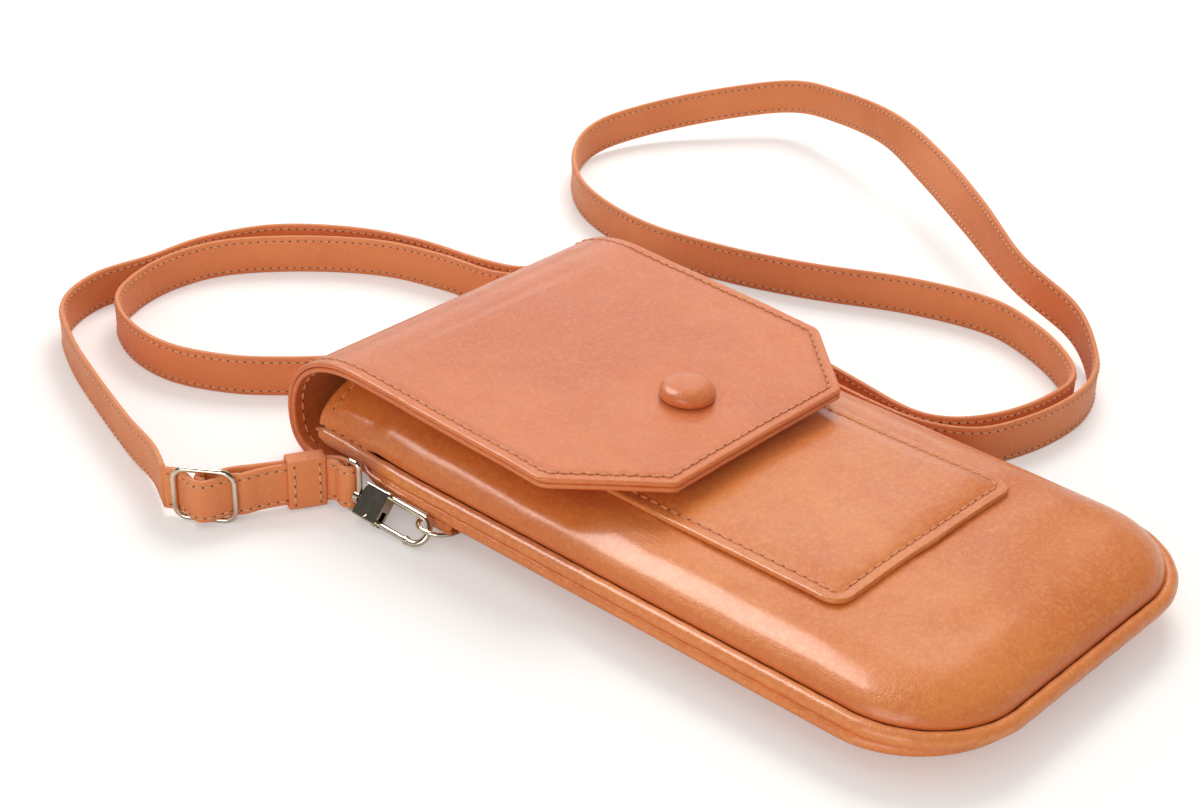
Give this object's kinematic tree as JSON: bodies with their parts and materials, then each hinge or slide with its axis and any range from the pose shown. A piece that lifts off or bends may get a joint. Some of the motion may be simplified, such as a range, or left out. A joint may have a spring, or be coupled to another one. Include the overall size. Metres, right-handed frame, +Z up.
{
  "type": "phone pouch",
  "caption": "Padded leather phone pouch with a rounded bottom, folded-over snap flap, card pocket and a detachable crossbody strap.",
  "frame": {"origin": "centre of the closed pouch's footprint, on the table it lies on", "axes": "+Y from the rounded bottom to the flap's fold, +Z up out of the front, +X to the side away from the slider"},
  "size_m": [0.2595, 0.2632, 0.0297],
  "materials": {
    "leather": "satin",
    "strap_leather": "satin",
    "lining": "matte",
    "metal": "polished",
    "spring_steel": "satin"
  },
  "bodies": {
    "pouch": {"front_panel": "leather", "front_lining": "lining", "back_panel": "leather", "back_lining": "lining", "welt": "leather", "card_pocket": "leather", "fold_outer": "leather", "fold_lining": "lining", "flap_back": "leather", "flap_back_lining": "lining", "snap_stud": "metal", "snap_post": "metal", "tab_left": "leather", "tab_right": "leather", "d_ring_left": "metal", "d_ring_right": "metal", "hook_left": "metal", "hook_right": "metal", "hook_eye_left": "metal", "hook_eye_right": "metal", "gate_pin_left": "metal", "gate_pin_right": "metal", "gate_spring_left": "spring_steel", "gate_spring_right": "spring_steel", "slider": "metal", "strap_adjuster": "strap_leather", "strap_far_end": "strap_leather", "strap": "strap_leather"},
    "flap": {"flap_outer": "leather", "flap_lining": "lining", "button_cover": "leather", "snap_cap": "metal", "snap_socket": "metal"},
    "gate_left": {"gate_left": "metal"},
    "gate_right": {"gate_right": "metal"},
    "keeper": {"keeper": "strap_leather"}
  },
  "joints": [
    {"name": "flap_hinge", "type": "hinge", "parent": "pouch", "child": "flap", "pos_m": [0, 0.0775, 0.0134], "axis": [-1, 0, 0], "range_deg": [0, 112], "deforming": ["fold_outer", "fold_lining"]},
    {"name": "hook_gate_left", "type": "hinge", "parent": "pouch", "child": "gate_left", "pos_m": [-0.0536, 0.05418, 0.00264], "axis": [-0.7626, -0.0849, 0.6412], "range_deg": [0, 15], "stiffness_Nm_per_rad": 0.002, "springref_deg": -11.46},
    {"name": "hook_gate_right", "type": "hinge", "parent": "pouch", "child": "gate_right", "pos_m": [0.0536, 0.05418, 0.00264], "axis": [-0.7626, 0.0849, -0.6412], "range_deg": [0, 15], "stiffness_Nm_per_rad": 0.002, "springref_deg": -11.46},
    {"name": "keeper_slide", "type": "slide", "parent": "pouch", "child": "keeper", "axis": [-0.8704, 0.4924, 0], "range_m": [0, 0.0026]}
  ]
}
